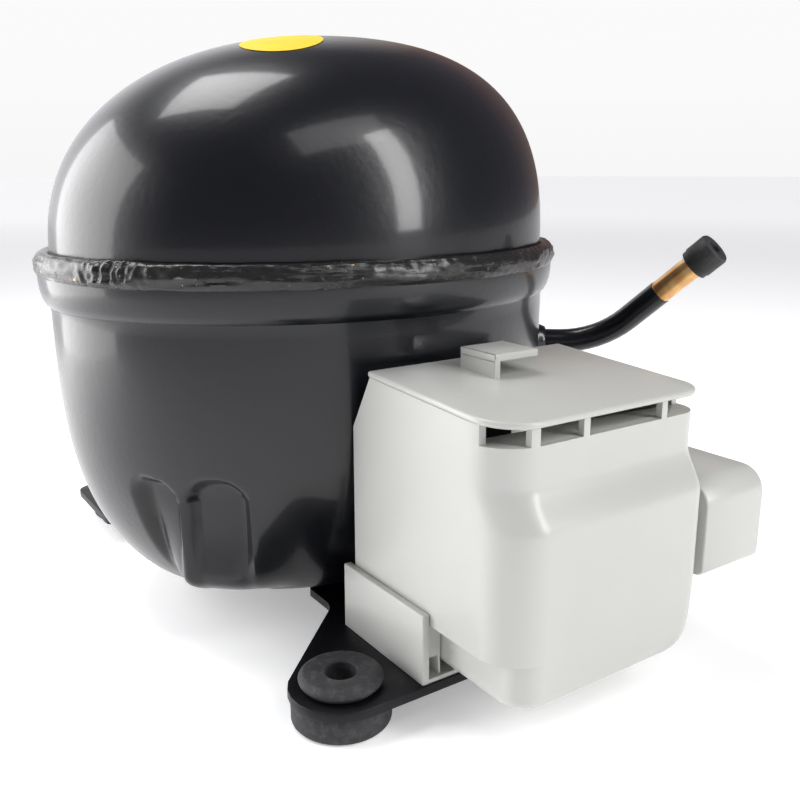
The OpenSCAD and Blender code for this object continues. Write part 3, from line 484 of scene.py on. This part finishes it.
def moulded(node, name, finish, body, slot, round_edge, segments=2, smooth=30):
    """A finished copy of a CAD piece, with its corners broken."""
    made = bpy.data.objects.new(name, nodes[node].data.copy())
    bpy.context.scene.collection.objects.link(made)
    pick(made)
    bpy.ops.object.mode_set(mode="EDIT")
    bpy.ops.mesh.select_all(action="SELECT")
    bpy.ops.mesh.remove_doubles(threshold=0.00001)
    bpy.ops.mesh.dissolve_limited(angle_limit=math.radians(1.5))
    bpy.ops.object.mode_set(mode="OBJECT")
    if round_edge:
        edge = made.modifiers.new("round", "BEVEL")
        edge.width, edge.segments = round_edge, segments
        edge.limit_method, edge.angle_limit = "ANGLE", math.radians(32)
        apply_all(made)
        seal(made)
    bpy.ops.object.shade_smooth_by_angle(angle=math.radians(smooth))
    wear(made, finish)
    belongs(made, body, slot, node)
    return made


plate_finish, shader = new_finish("satin_black_plate")
specks = cloud(300, 3).between(0.62, 0.75)
wire(shader, Base_Color=tint(specks * 0.3, (0.004, 0.004, 0.006), (0.05, 0.05, 0.05)),
     Roughness=0.36 + cloud(40, 3) * 0.12, Specular_IOR_Level=0.22,
     Normal=relief(cloud(500, 2), 0.15, 0.0004))
moulded("base_plate", "base_plate_pressed", plate_finish, "housing", "plate_black", 0.0005)
rubber, shader = new_finish("dusty_rubber")
mottle = cloud(420, 5, 0.65)
wire(shader, Base_Color=tint(mottle.between(0.40, 0.80), (0.018, 0.018, 0.020), (0.062, 0.062, 0.066)),
     Roughness=0.62 + mottle * 0.22, Normal=relief(mottle + cloud(1400, 2) * 0.4, 0.35, 0.0005))
for number in (1, 2, 3, 4):
    moulded(f"grommet_{number}", f"rubber_foot_{number}", rubber, "housing", "rubber", 0.0007, 3)

# Tubes and rubber caps.
# The suction tube is steel under the same black paint, with a bare copper plated end. The two other
# stubs are plain copper. Each end wears a soft black cap.
copper, shader = new_finish("bare_copper")
heat = cloud(110, 3).between(0.35, 0.7)
wire(shader, Base_Color=tint(heat, (0.62, 0.30, 0.12), (0.80, 0.52, 0.22)), Metallic=1.0,
     Roughness=0.24 + cloud(500, 3) * 0.18, Normal=relief(cloud(800, 2), 0.12, 0.0003))
cap_rubber, shader = new_finish("cap_rubber")
wire(shader, Base_Color=tint(cloud(700, 3), (0.010, 0.010, 0.011), (0.03, 0.03, 0.032)),
     Roughness=0.48 + cloud(300, 2) * 0.15, Normal=relief(cloud(1500, 2), 0.2, 0.0003))
moulded("suction_tube", "suction_tube_bent", enamel, "housing", "shell_black", 0, smooth=60)
moulded("tube_welds", "brazed_rings", enamel, "housing", "shell_black", 0.0005)
moulded("suction_tube_tip", "suction_tube_end", copper, "housing", "copper", 0)
for node in ("discharge_tube", "process_tube"):
    moulded(node, node + "_bent", copper, "housing", "copper", 0, smooth=60)
for node in ("suction_plug", "discharge_plug", "process_plug"):
    moulded(node, node + "_cap", cap_rubber, node, "plug_rubber", 0.0004)

# Electrical covers and side guide.
# All three are injection moulded in one warm light grey, fine grained and slightly glossy, with
# broken edges and a paler bloom where the plastic thins.
plastic, shader = new_finish("moulded_grey")
grain = cloud(1800, 2)
bloom = cloud(28, 3)
wire(shader, Base_Color=tint(bloom, (0.485, 0.49, 0.462), (0.53, 0.535, 0.505)),
     Roughness=0.24 + grain * 0.08 + bloom * 0.06, Coat_Weight=0.12, Coat_Roughness=0.12,
     Normal=relief(grain * 0.4 + cloud(120, 3) * 0.6, 0.10, 0.0004))
moulded("side_channel", "guide_moulding", plastic, "housing", "cover_grey", 0.0004)
moulded("capacitor_cover", "capacitor_cover_moulding", plastic, "capacitor_cover", "cover_grey", 0.0006)

# Main electrical cover.
# One hollow moulding, open at the back. Its front bulges out under the vents, its left side steps in
# over the guide, and a sloping lid with a cord hook closes the top. Corners are well rounded.
left, right = -0.02935, 0.04885
back, front = -0.0753, -0.1462
base, step_height, lid_under = 0.0150, 0.0303, 0.0986
bulge, bulge_top, bulge_full = 0.0056, 0.0795, 0.0665
step_in, cover_wall = 0.0050, 0.0022
lower_round, sill_round, right_round, left_round = 0.011, 0.0045, 0.008, 0.0135


def front_swell(height):
    """How far the front stands out at a height."""
    rise = ease(bulge_top, bulge_full, height) if height > 0.06 else 1.0
    tuck = 0.80 + 0.20 * ease(0.016, 0.040, height)
    return bulge * rise * tuck


def wall_outline(height, stepped):
    """Plan points of the wall at a height, from the back right corner round to the back left."""
    above = height - base
    drop = max(0.0, lower_round - above)
    side_in = lower_round - math.sqrt(max(0.0, lower_round ** 2 - drop ** 2))
    sill_drop = max(0.0, sill_round - above)
    front_in = sill_round - math.sqrt(max(0.0, sill_round ** 2 - sill_drop ** 2))
    face = front - front_swell(height) + front_in
    rear = back - max(0.0, height - 0.081) * 0.566
    right_side = right - side_in
    left_side = left + front_in * 0.8 + (step_in if stepped else 0)
    points = [(right_side, rear), (right_side, rear * 0.6 + face * 0.4)]
    for turn in range(0, 91, 9):
        points.append((right_side - right_round * (1 - math.cos(math.radians(turn))),
                       face + right_round * (1 - math.sin(math.radians(turn)))))
    points.append((0.01, face))
    round_left = left_round - step_in if stepped else left_round
    for turn in range(90, 181, 6):
        points.append((left_side + round_left * (1 + math.cos(math.radians(turn))),
                       face + round_left * (1 - math.sin(math.radians(turn)))))
    return points + [(left_side, rear * 0.4 + face * 0.6), (left_side, rear)]


def top_of_wall(y):
    """The wall's top slopes down towards the front with the lid."""
    return lid_under - (back - 0.0111 - y) * 0.0555


heights = [base + rise for rise in (0.0001, 0.0006, 0.0014, 0.0026, 0.0040, 0.0060, 0.0082,
                                    0.0110, 0.0140)]
heights += [step_height, step_height + 0.00001, 0.034, 0.040, 0.048, 0.056]
heights += [0.060 + 0.0015 * step for step in range(0, 16)]
heights += [0.0880, 0.0930, lid_under]
cover = bpy.data.objects.new("cover_moulding", bpy.data.meshes.new("cover_moulding"))
bpy.context.scene.collection.objects.link(cover)
mesh = bmesh.new()
rings = []
for index, height in enumerate(heights):
    outline = wall_outline(height, height <= step_height)
    last = index == len(heights) - 1
    rings.append([mesh.verts.new((x, y, top_of_wall(y) if last else height)) for x, y in outline])
for low, high in zip(rings, rings[1:]):
    for one, two, three, four in zip(low, low[1:], high[1:], high):
        mesh.faces.new((one, four, three, two))
mesh.faces.new(rings[0])
bmesh.ops.recalc_face_normals(mesh, faces=mesh.faces)
mesh.to_mesh(cover.data)
mesh.free()


def block(name, low, high):
    """A box between two corners, as a cutter or a start."""
    bpy.ops.object.select_all(action="DESELECT")
    centre = [(a + b) / 2 for a, b in zip(low, high)]
    bpy.ops.mesh.primitive_cube_add(size=1, location=centre)
    made = bpy.context.object
    made.name = name
    made.scale = [b - a for a, b in zip(low, high)]
    bpy.ops.object.transform_apply(location=True, rotation=True, scale=True)
    return made


def cut(made, cutter):
    hole = made.modifiers.new("cut", "BOOLEAN")
    hole.operation, hole.solver, hole.object = "DIFFERENCE", "EXACT", cutter
    pick(made)
    bpy.ops.object.modifier_apply(modifier=hole.name)
    bpy.data.objects.remove(cutter, do_unlink=True)


pick(cover)
wall = cover.modifiers.new("wall", "SOLIDIFY")
wall.thickness = cover_wall
first = cover.data.polygons[0]
outward = first.normal.dot(first.center - Vector((0.01, -0.11, 0.05))) >= 0
wall.offset = -1 if outward else 1
apply_all(cover)
sill, vent_top, vent_reach = 0.0902, 0.0960, 0.0095
floor_back, floor_top, beyond = -0.1186, 0.0173, 0.002
vents = ((-0.0320, -0.0188), (-0.0160, -0.0004), (0.0019, 0.0308), (0.0331, 0.0520))
for low_x, high_x in vents:
    cut(cover, block("vent_cutter", (low_x, front - 2 * beyond, sill),
                     (high_x, front + vent_reach, vent_top)))
cut(cover, block("rear_cutter", (left + 0.0072, floor_back, 0),
                 (right + beyond, back + 0.01, floor_top)))
cut(cover, block("foot_cutter", (right - 0.0090, floor_back, 0),
                 (right + beyond, back + 0.01, step_height)))


def slab(name, outline, low, high):
    """A flat plate from a plan outline; low and high give its heights at each point."""
    made = bpy.data.objects.new(name, bpy.data.meshes.new(name))
    bpy.context.scene.collection.objects.link(made)
    mesh = bmesh.new()
    under = [mesh.verts.new((x, y, low(y))) for x, y in outline]
    over = [mesh.verts.new((x, y, high(y))) for x, y in outline]
    mesh.faces.new(under)
    mesh.faces.new(over)
    for one, two, three, four in zip(under, under[1:] + under[:1], over[1:] + over[:1], over):
        mesh.faces.new((one, two, three, four))
    bmesh.ops.recalc_face_normals(mesh, faces=mesh.faces)
    mesh.to_mesh(made.data)
    mesh.free()
    return made


def grown(outline, side, face):
    """The outline let out sideways and forwards, or drawn in where a number is negative."""
    middle = (left + right) / 2
    return [(x + side * (x - middle) / (right - middle), y - face * (y - back) / (front - back))
            for x, y in outline]


shelf_depth, shelf_inset = 0.022, 0.0014
inside = [point for point in grown(wall_outline(sill, False), -shelf_inset, -shelf_inset)
          if point[1] < front + shelf_depth]
shelf = slab("vent_shelf", inside, lambda y: sill - cover_wall, lambda y: sill)
lid_outline, lid_thickness = wall_outline(0.0970, False), 0.0020
lid_side_lip, lid_front_lip = 0.0004, 0.0009
lid = slab("cover_lid", grown(lid_outline, lid_side_lip, lid_front_lip), top_of_wall,
           lambda y: top_of_wall(y) + lid_thickness)
hook_left, hook_right, leg_right = -0.0016, 0.0155, 0.0007
hook_front, hook_back = -0.1105, -0.0940
leg_low, hook_low, hook_high = 0.0985, 0.1044, 0.1066
hook_leg = block("hook_leg", (hook_left, hook_front, leg_low), (leg_right, hook_back, hook_high))
hook_top = block("hook_top", (hook_left, hook_front, hook_low), (hook_right, hook_back, hook_high))
join = hook_leg.modifiers.new("join", "BOOLEAN")
join.operation, join.solver, join.object = "UNION", "EXACT", hook_top
pick(hook_leg)
bpy.ops.object.modifier_apply(modifier=join.name)
bpy.data.objects.remove(hook_top, do_unlink=True)
for made, size in ((shelf, 0.0003), (lid, 0.0008), (hook_leg, 0.0010), (cover, 0.0004)):
    pick(made)
    soft = made.modifiers.new("soft", "BEVEL")
    soft.width, soft.segments, soft.limit_method = size, 3, "ANGLE"
    soft.angle_limit = math.radians(50)
    apply_all(made)
    seal(made)
    bpy.ops.object.shade_smooth_by_angle(angle=math.radians(40))
    wear(made, plastic)
    belongs(made, "electrical_cover", "cover_grey")
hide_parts("electrical_cover")

# Everything behind the covers and inside the housing.
# Machined, cast, stamped, wound and moulded pieces keep their CAD shapes and each gets its finish.
# The springs and the discharge loop are copied.
def metal_finish(name, dark, light, rough, grain_scale, bump=0.15, metallic=1.0):
    """A lightly uneven finish between two tones; a metallic of 0 makes it glass or plastic."""
    made, shader = new_finish(name)
    grit = cloud(grain_scale, 4)
    wire(shader, Base_Color=tint(grit, dark, light), Metallic=metallic,
         Roughness=rough + grit * 0.15, Normal=relief(cloud(grain_scale * 2.5, 3), bump, 0.0004))
    return made


finishes = {
    "steel": metal_finish("machined_steel", (0.42, 0.43, 0.45), (0.58, 0.59, 0.60), 0.25, 220),
    "cast": metal_finish("grey_iron", (0.10, 0.10, 0.105), (0.19, 0.19, 0.19), 0.5, 380, 0.5),
    "alu": metal_finish("cast_aluminium", (0.62, 0.63, 0.65), (0.76, 0.77, 0.78), 0.33, 260, 0.3),
    "lams": metal_finish("lamination_steel", (0.22, 0.23, 0.25), (0.36, 0.37, 0.39), 0.38, 160, 0.3),
    "wire": metal_finish("enamelled_wire", (0.48, 0.19, 0.06), (0.70, 0.32, 0.12), 0.3, 300, 0.6),
    "bronze": metal_finish("bronze", (0.52, 0.37, 0.16), (0.66, 0.49, 0.24), 0.3, 260),
    "glass_bead": metal_finish("sealing_glass", (0.10, 0.22, 0.19), (0.16, 0.32, 0.27), 0.1, 300,
                               0.1, 0.0),
    "dark_plastic": metal_finish("black_phenolic", (0.018, 0.018, 0.02), (0.035, 0.035, 0.037),
                                 0.4, 500, 0.2, 0.0),
    "white_plastic": metal_finish("cream_plastic", (0.62, 0.60, 0.54), (0.72, 0.70, 0.64), 0.4, 260,
                                  0.15, 0.0),
    "gasket": metal_finish("gasket_sheet", (0.10, 0.085, 0.07), (0.19, 0.16, 0.13), 0.7, 600,
                           0.3, 0.0),
    "copper": copper,
}
springs = ("spring_1", "spring_2", "spring_3", "spring_4", "discharge_loop")
for node in springs:
    low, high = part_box(node)
    coil = moulded(node, node + "_wound", finishes["steel"], None, "steel", 0, smooth=60)
    middle = ((low[0] + high[0]) / 2, (low[1] + high[1]) / 2)
    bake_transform(coil)
replaced = {"upper_shell", "lower_shell", "girth_weld", "label_dot", "base_plate", "suction_tube",
            "tube_welds", "suction_tube_tip", "discharge_tube", "process_tube", "suction_plug",
            "discharge_plug", "process_plug", "electrical_cover", "side_channel", "capacitor_cover",
            "grommet_1", "grommet_2", "grommet_3", "grommet_4", *springs}
for entry in frame["record"]["subparts"]:
    if entry["node"] not in replaced:
        wear(nodes[entry["node"]], finishes[entry["material_slot"]])

# Floor.
# A pale seamless sweep, very slightly uneven in tone, that glows a little more far away so that it
# meets the backdrop without a line.
sweep, shader = new_finish("pale_sweep")
distance = Field(Field.node("ShaderNodeVectorMath", {"operation": "LENGTH"},
                            _0=place_on_piece()).outputs["Value"])
far = distance.between(0.5, 3.5)
wire(shader, Base_Color=tint(cloud(2, 2), (0.90, 0.90, 0.90), (0.93, 0.93, 0.93)), Roughness=0.7,
     Emission_Color=tint(far, (0.32, 0.32, 0.32), (0.62, 0.62, 0.62)), Emission_Strength=1)
wear(floor, sweep)
